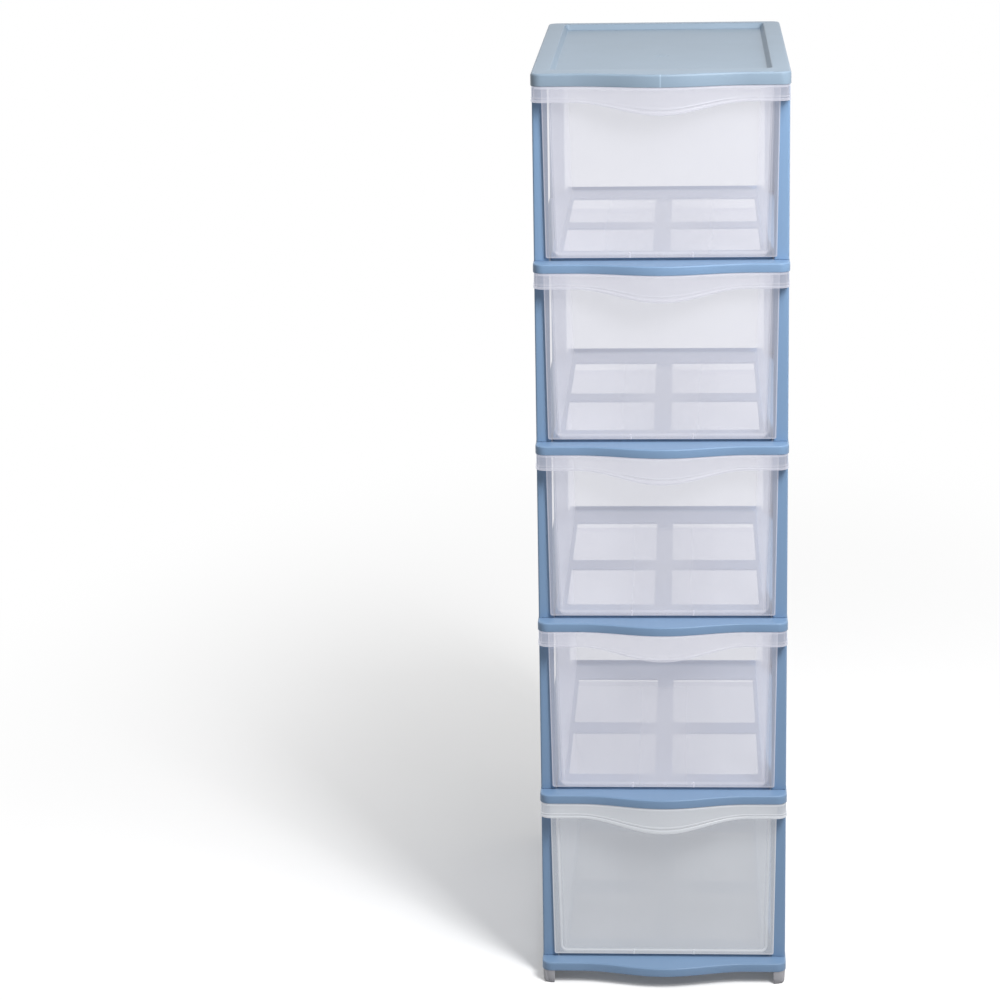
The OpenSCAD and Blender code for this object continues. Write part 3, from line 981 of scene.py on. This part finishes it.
def stripe_mask():
    """Group that puts out 1 on a thin upright stripe at X = 0 in front of a given Y, and 0 elsewhere."""
    tree, given, out = new_group(
        "Stripe mask",
        [("Vector", "Vector", None), ("Half width", "Float", 0.5 * MM), ("Back", "Float", -0.15)],
        [("Mask", "Float")],
    )
    axes = split_axes(tree, given["Vector"])
    near = maths(tree, "LESS_THAN", maths(tree, "ABSOLUTE", axes["X"]), given["Half width"])
    ahead = maths(tree, "LESS_THAN", axes["Y"], given["Back"])
    feed(tree, out["Mask"], maths(tree, "MULTIPLY", near, ahead))
    return tree


def plastic(name, base, surface, roughness, marks, grain_size, grain_depth):
    """A material with one Principled shader and the moulded surface in front of it. Returns the material,
    the shader, the outputs of the group and the object's own coordinates."""
    material, tree = new_material(name)
    place = add(tree, "ShaderNodeTexCoord").outputs["Object"]
    given = {
        "Vector": place,
        "Colour": (*base, 1.0),
        "Flow marks": marks,
        "Roughness": roughness,
        "Grain size": grain_size,
        "Grain depth": grain_depth,
    }
    skin = add(tree, "ShaderNodeGroup", given, node_tree=surface).outputs
    given = {"Base Color": skin["Colour"], "Roughness": skin["Roughness"], "Normal": skin["Normal"]}
    shader = add(tree, "ShaderNodeBsdfPrincipled", given)
    add(tree, "ShaderNodeOutputMaterial", {"Surface": shader.outputs[0]})
    return material, shader, skin, place


def blue_plastic(finish, surface):
    """Satin blue plastic of the shelves and the posts."""
    plastic("Frame blue", finish.blue, surface, finish.blue_roughness, marks=0.1, **FRAME_GRAIN)


def cover_plastic(finish, surface, stripe):
    """The cover's blue plastic, greyer than the frame's blue as a painted sheen, with a fine lighter weld
    line down the middle of its front rim.
    """
    line_half, line_depth, line_share, line_colour = 0.6 * MM, 1.6 * MM, 0.22, (0.55, 0.7, 0.85, 1.0)
    material, shader, skin, place = plastic(
        "Cover blue", finish.cover_blue_painted_sheen, surface, finish.blue_roughness, marks=0.12, **FRAME_GRAIN)
    tree = material.node_tree
    given = {"Vector": place, "Half width": line_half, "Back": RIM_LOW.y + line_depth}
    mask = add(tree, "ShaderNodeGroup", given, node_tree=stripe)
    factor = maths(tree, "MULTIPLY", mask.outputs["Mask"], line_share)
    colours = {"Factor": factor, "A": skin["Colour"], "B": line_colour}
    mix = add(tree, "ShaderNodeMix", colours, data_type="RGBA")
    tree.links.new(mix.outputs["Result"], shader.inputs["Base Color"])


def milky_plastic(name, milk, glow, body, roughness, surface):
    """Translucent drawer plastic, with a painted glow: an emission of its own that stands in for the light
    that spreads inside it and shines under any lamp or none. The mesh's milkiness says how much more of the
    view a surface covers than the thin panels do, and a broad noise makes that a little uneven. With f as 1
    minus the cosine of the slant, what passes is raised to the power of 1 + 0.34 f, for the longer way
    through the wall, and cut by 0.4 f^5, for the glare. What is milkier than FULL_SHADOW, as flanges, edges
    and bands are, throws a full shadow."""
    cloud_scale, cloud_share, longer_way, glare_share, glare_power = 9.0, 0.25, 0.34, 0.4, 5.0
    material, shader, _, place = plastic(
        name, milk, surface, roughness, marks=0.04, grain_size=700.0, grain_depth=0.12)
    tree = material.node_tree
    milkiness = add(tree, "ShaderNodeAttribute", attribute_name="milkiness").outputs["Fac"]
    cloud = maths(tree, "SUBTRACT", noise(tree, place, cloud_scale), 0.5)
    uneven = maths(tree, "MULTIPLY_ADD", cloud, cloud_share, 1.0)
    cover = maths(tree, "MULTIPLY", maths(tree, "MULTIPLY", milkiness, body), uneven)
    slant = add(tree, "ShaderNodeLayerWeight", {"Blend": 0.5}).outputs["Facing"]
    way = maths(tree, "MULTIPLY_ADD", slant, longer_way, 1.0)
    glare = maths(tree, "MULTIPLY_ADD", maths(tree, "POWER", slant, glare_power), -glare_share, 1.0)
    clear = maths(tree, "POWER", maths(tree, "SUBTRACT", 1.0, cover), way)
    clear = maths(tree, "MULTIPLY", clear, glare)
    path = add(tree, "ShaderNodeLightPath")
    dense = maths(tree, "GREATER_THAN", milkiness, FULL_SHADOW)
    shade = maths(tree, "MULTIPLY", dense, path.outputs["Is Shadow Ray"])
    alpha = maths(tree, "MAXIMUM", maths(tree, "SUBTRACT", 1.0, clear), shade)
    # Emission Color and Strength paint the glow: the drawers light up with it under any lamp or none
    for label, value in (("Emission Color", (*glow, 1.0)), ("Emission Strength", 1.0), ("Alpha", alpha)):
        feed(tree, shader.inputs[label], value)


def foot_plastic(finish, surface):
    """Grey plastic of the feet, with fine upright ribs in the lowest few millimetres."""
    pitch, reach, height, strength = 1.6 * MM, 4.0 * MM, 0.3 * MM, 0.6
    material, shader, skin, place = plastic(
        "Foot grey", finish.grey, surface, roughness=0.4, marks=0.12, grain_size=1100.0, grain_depth=0.3)
    tree = material.node_tree
    axes = split_axes(tree, place)
    diagonal = maths(tree, "ADD", axes["X"], axes["Y"])
    wave = maths(tree, "SINE", maths(tree, "MULTIPLY", diagonal, 2 * math.pi / pitch))
    ribs = maths(tree, "MULTIPLY", wave, maths(tree, "LESS_THAN", axes["Z"], reach))
    bump = {"Distance": height, "Strength": strength, "Height": ribs, "Normal": skin["Normal"]}
    tree.links.new(add(tree, "ShaderNodeBump", bump).outputs[0], shader.inputs["Normal"])


def finishes():
    """All materials by name, with the five plastics made once."""
    if "Frame blue" not in bpy.data.materials:
        finish = settings().finish
        surface = moulded_surface()
        blue_plastic(finish, surface)
        cover_plastic(finish, surface, stripe_mask())
        for name, milk, glow, body in (
            ("Drawer milk", finish.milk, finish.painted_milk_glow, finish.milk_body),
            ("Drawer milk dense", finish.dense, finish.painted_dense_glow, finish.dense_body),
        ):
            milky_plastic(name, milk, glow, body, finish.milk_roughness, surface)
        foot_plastic(finish, surface)
    return bpy.data.materials


# Operators ----------------------------------------------------------------------------------------


class DRAWER_TOWER_OT_cover(Operator):
    """Build the top cover with its tray"""

    bl_idname = "drawer_tower.cover"
    bl_label = "Top cover"

    def execute(self, context):
        tower = settings()
        shells = [cover_skin(tower.cover, tower.rims), gate_mark(tower.cover)]
        shells += corner_pads(PAD_RISE, COVER_H - tower.rims.wall + COVER_PAD_OVERLAP)
        blue = finishes()["Cover blue"]
        make_piece("top_cover_skin", lifted(shells, COVER_LOW.z), blue, "frame", "top_cover")
        return {"FINISHED"}


class DRAWER_TOWER_OT_shelves(Operator):
    """Build the shelves with their rims, guides and openings"""

    bl_idname = "drawer_tower.shelves"
    bl_label = "Shelves"

    def execute(self, context):
        tower = settings()
        sizes, rims = tower.shelves, tower.rims
        shells = [deck_skin(sizes, rims), deck_slab(sizes, rims), *opening_lips(sizes, rims)]
        shells += corner_pads(PAD_RISE - sizes.rim_h, SHELF_PAD_OVERLAP - rims.wall)
        blue = finishes()["Frame blue"]
        for node in SHELVES:
            moulding = lifted(shells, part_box(node)[0].z + sizes.rim_h)
            make_piece(f"{node}_moulding", moulding, blue, "frame", node)
        return {"FINISHED"}


class DRAWER_TOWER_OT_posts(Operator):
    """Build the corner posts between the shelves"""

    bl_idname = "drawer_tower.posts"
    bl_label = "Corner posts"

    def execute(self, context):
        tower = settings()
        blue = finishes()["Frame blue"]
        tops = [COVER_LOW.z] + [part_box(node)[0].z for node in SHELVES]
        for node in POSTS:
            _, number, end, side = node.split("_")
            shelf = int(number)
            points, faces = post_shell(tower.posts, tops[shelf] + tower.shelves.rim_h, tops[shelf - 1])
            angle_shells = [(mirrored(points, side, end), faces)]
            make_piece(f"{node}_angle", angle_shells, blue, "frame", node)
        return {"FINISHED"}


class DRAWER_TOWER_OT_drawers(Operator):
    """Build the drawers: tub, face and handle band"""

    bl_idname = "drawer_tower.drawers"
    bl_label = "Drawers"

    def execute(self, context):
        tower = settings()
        sizes, rims = tower.drawers, tower.rims
        parts = {
            "tub": [tub_shell(sizes, rims)],
            "face": [face_shell(sizes, rims), *face_nibs(sizes, rims)],
            "handle": [handle_shell(sizes, rims)],
        }
        for node in DRAWERS:
            milk = finishes()["Drawer milk dense" if node == DRAWERS[-1] else "Drawer milk"]
            for part, shells in parts.items():
                raised = lifted(shells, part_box(node)[0].z)
                make_piece(f"{node}_{part}", raised, milk, node, node)
        return {"FINISHED"}


class DRAWER_TOWER_OT_feet(Operator):
    """Build the four feet"""

    bl_idname = "drawer_tower.feet"
    bl_label = "Feet"

    def execute(self, context):
        for node in FEET:
            _, end, side = node.split("_")
            low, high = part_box(node)
            edge = low.y - POST_LOW.y if end == "front" else REAR_POST_HIGH.y - high.y
            shells = [(mirrored(points, side, end), faces)
                      for points, faces in foot_shells(settings().posts, edge)]
            make_piece(f"{node}_wall", shells, finishes()["Foot grey"], "frame", node)
        return {"FINISHED"}


def area_lamp(name, place, aim, size, watts):
    """A rectangular area lamp at a place, turned to its aim."""
    data = bpy.data.lights.new(name, "AREA")
    data.shape = "RECTANGLE"
    data.size, data.size_y = size
    data.energy = watts
    lamp = linked(name, data)
    lamp.location = place
    lamp.visible_camera = False
    lamp.rotation_euler = (Vector(aim) - Vector(place)).to_track_quat("-Z", "Y").to_euler()
    return lamp


def studio_camera(studio):
    """The camera: its view direction is (sin yaw cos pitch, cos yaw cos pitch, -sin pitch), and its right
    and up vectors are then turned by the roll."""
    yaw, pitch, roll = studio.yaw, studio.pitch, studio.roll
    forward = Vector((math.sin(yaw) * math.cos(pitch), math.cos(yaw) * math.cos(pitch), -math.sin(pitch)))
    level = Vector((math.cos(yaw), -math.sin(yaw), 0.0))
    upright = level.cross(forward)
    right = level * math.cos(roll) + upright * math.sin(roll)
    up = upright * math.cos(roll) - level * math.sin(roll)
    data = bpy.data.cameras.new("Studio camera")
    data.sensor_width = SENSOR
    data.lens = studio.lens / MM
    data.clip_start, data.clip_end = CLIP
    camera = linked("Studio camera", data)
    place = Matrix.Translation((studio.camera_x, studio.camera_y, studio.camera_z))
    camera.matrix_world = place @ Matrix((right, up, -forward)).transposed().to_4x4()
    bpy.context.scene.camera = camera


def seen_directly(tree):
    """1 for camera, glossy and transmission rays, and 0 for the rays that light things."""
    path = add(tree, "ShaderNodeLightPath").outputs
    first = maths(tree, "MAXIMUM", path["Is Camera Ray"], path["Is Glossy Ray"])
    return maths(tree, "MAXIMUM", first, path["Is Transmission Ray"])


def studio_world(studio):
    """White to the eye. The light that it gives is strongest from above and fades with the sine of the
    height above the horizon."""
    world = bpy.data.worlds.new("Studio world")
    world.use_nodes = True
    tree = world.node_tree
    background = tree.nodes["Background"].inputs
    axes = split_axes(tree, add(tree, "ShaderNodeTexCoord").outputs["Generated"])
    light = maths(tree, "MULTIPLY", maths(tree, "MAXIMUM", axes["Z"], 0.0), studio.sky)
    feed(tree, background["Color"], WHITE)
    feed(tree, background["Strength"], maths(tree, "MAXIMUM", light, seen_directly(tree)))
    bpy.context.scene.world = world


def studio_floor(studio):
    """A plain pale floor. The eye sees it lit as any white surface with a little white of its own, and
    plain white far from the tower; the light that it gives back has the bounce colour."""
    corners = [(x * FLOOR_HALF, y * FLOOR_HALF, 0.0) for x, y in ((-1, -1), (1, -1), (1, 1), (-1, 1))]
    mesh = bpy.data.meshes.new("Floor")
    mesh.from_pydata(corners, [], [(0, 1, 2, 3)])
    floor = linked("Floor", mesh)
    material, tree = new_material("Floor")
    mesh.materials.append(material)
    seen = seen_directly(tree)
    colours = {"Factor": seen, "A": (*studio.bounce, 1.0), "B": WHITE}
    tint = add(tree, "ShaderNodeMix", colours, data_type="RGBA")
    matt = add(tree, "ShaderNodeBsdfDiffuse", {"Color": tint.outputs["Result"]})
    glow = add(tree, "ShaderNodeEmission", {"Strength": maths(tree, "MULTIPLY", seen, studio.glow)})
    near = add(tree, "ShaderNodeAddShader", {0: matt.outputs[0], 1: glow.outputs[0]})
    white = add(tree, "ShaderNodeEmission", {"Strength": 1.0})
    place = add(tree, "ShaderNodeTexCoord").outputs["Object"]
    widening = (FADE_SIDEWAYS, 1.0, 1.0)
    widened = add(tree, "ShaderNodeVectorMath", {0: place, 1: widening}, operation="MULTIPLY")
    away = add(tree, "ShaderNodeVectorMath", {0: widened.outputs[0]}, operation="LENGTH").outputs["Value"]
    span = {"Value": away, "From Min": FADE_FROM, "From Max": FADE_TO}
    fade = add(tree, "ShaderNodeMapRange", span, interpolation_type="SMOOTHSTEP").outputs[0]
    share_white = maths(tree, "MULTIPLY", fade, seen)
    mix = add(tree, "ShaderNodeMixShader", {"Fac": share_white, 1: near.outputs[0], 2: white.outputs[0]})
    add(tree, "ShaderNodeOutputMaterial", {"Surface": mix.outputs[0]})


class DRAWER_TOWER_OT_stage(Operator):
    """Set the camera, the lamps, the pale floor and the white surroundings"""

    bl_idname = "drawer_tower.stage"
    bl_label = "Stage"

    def execute(self, context):
        studio = settings().studio
        studio_camera(studio)
        studio_world(studio)
        studio_floor(studio)
        area_lamp("Key lamp", KEY_PLACE, KEY_AIM, KEY_SIZE, studio.key_watts)
        near = area_lamp("Near lamp", NEAR_PLACE, NEAR_AIM, NEAR_SIZE, studio.near_watts)
        near.visible_glossy = False
        context.scene.view_settings.view_transform = "Standard"
        return {"FINISHED"}


class DRAWER_TOWER_PT_sidebar(Panel):
    """Buttons and settings of the drawer tower."""

    bl_label = "Drawer Tower"
    bl_idname = "DRAWER_TOWER_PT_sidebar"
    bl_space_type = "VIEW_3D"
    bl_region_type = "UI"
    bl_category = "Drawer Tower"

    def draw(self, context):
        layout = self.layout
        for operator in OPERATORS:
            layout.operator(operator.bl_idname)
        for name in ("rims", "shelves", "cover", "posts", "drawers", "finish", "studio"):
            box = layout.box()
            box.label(text=name.capitalize())
            group = getattr(context.scene.drawer_tower, name)
            for key in group.__annotations__:
                box.prop(group, key)


OPERATORS = (
    DRAWER_TOWER_OT_cover,
    DRAWER_TOWER_OT_shelves,
    DRAWER_TOWER_OT_posts,
    DRAWER_TOWER_OT_drawers,
    DRAWER_TOWER_OT_feet,
    DRAWER_TOWER_OT_stage,
)
CLASSES = (
    RimSizes, ShelfSizes, CoverSizes, PostSizes, DrawerSizes, Finish, Studio, TowerSettings,
    *OPERATORS, DRAWER_TOWER_PT_sidebar,
)


def register():
    """Registers the classes and gives the scene its settings."""
    for cls in CLASSES:
        bpy.utils.register_class(cls)
    bpy.types.Scene.drawer_tower = PointerProperty(type=TowerSettings)


def unregister():
    """Takes the settings and the classes away again."""
    del bpy.types.Scene.drawer_tower
    for cls in reversed(CLASSES):
        bpy.utils.unregister_class(cls)


def main():
    """Builds everything in order."""
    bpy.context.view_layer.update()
    register()
    bpy.ops.drawer_tower.cover()
    bpy.ops.drawer_tower.shelves()
    bpy.ops.drawer_tower.posts()
    bpy.ops.drawer_tower.drawers()
    bpy.ops.drawer_tower.feet()
    bpy.ops.drawer_tower.stage()
    bpy.context.view_layer.update()


if __name__ == "__main__":
    main()
